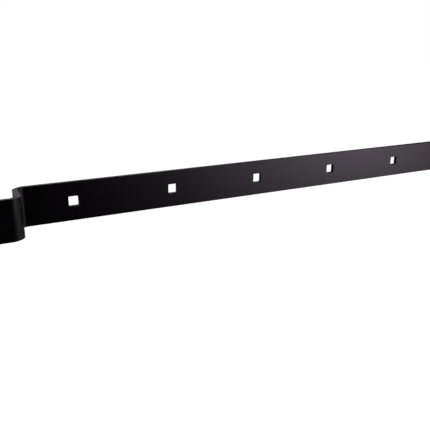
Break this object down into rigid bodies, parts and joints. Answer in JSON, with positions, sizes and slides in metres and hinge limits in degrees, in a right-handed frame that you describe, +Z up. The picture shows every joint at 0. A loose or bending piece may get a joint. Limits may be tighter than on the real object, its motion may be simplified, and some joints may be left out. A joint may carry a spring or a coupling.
{
  "type": "cranked strap hinge",
  "caption": "Cranked hook-and-band hinge: a long black flat band with a rolled eye lifts on to and turns on the upright pin of a wall plate; square bolt holes.",
  "frame": {"origin": "centre of the wall plate's back face, which lies on the wall or post", "axes": "+X along the band from the pin to the tip, +Y into the wall, +Z up along the pin"},
  "size_m": [0.83, 0.0655, 0.15],
  "materials": {
    "black_powder_coat": "satin black powder coat on steel, with a very fine orange-peel texture",
    "washer_brass": "turned brass, slightly dulled"
  },
  "bodies": {
    "wall_hook": {"hook_plate": "black_powder_coat", "hook_knuckle": "black_powder_coat", "hook_pin": "black_powder_coat"},
    "washer": {"thrust_washer": "washer_brass"},
    "gate_band": {"band": "black_powder_coat"}
  },
  "joints": [
    {"name": "band_swing", "type": "hinge", "parent": "wall_hook", "child": "washer", "pos_m": [0, -0.022, 0], "axis": [0, 0, -1], "range_deg": [0, 180]},
    {"name": "band_lift", "type": "slide", "parent": "washer", "child": "gate_band", "axis": [0, 0, 1], "range_m": [0, 0.048]}
  ]
}
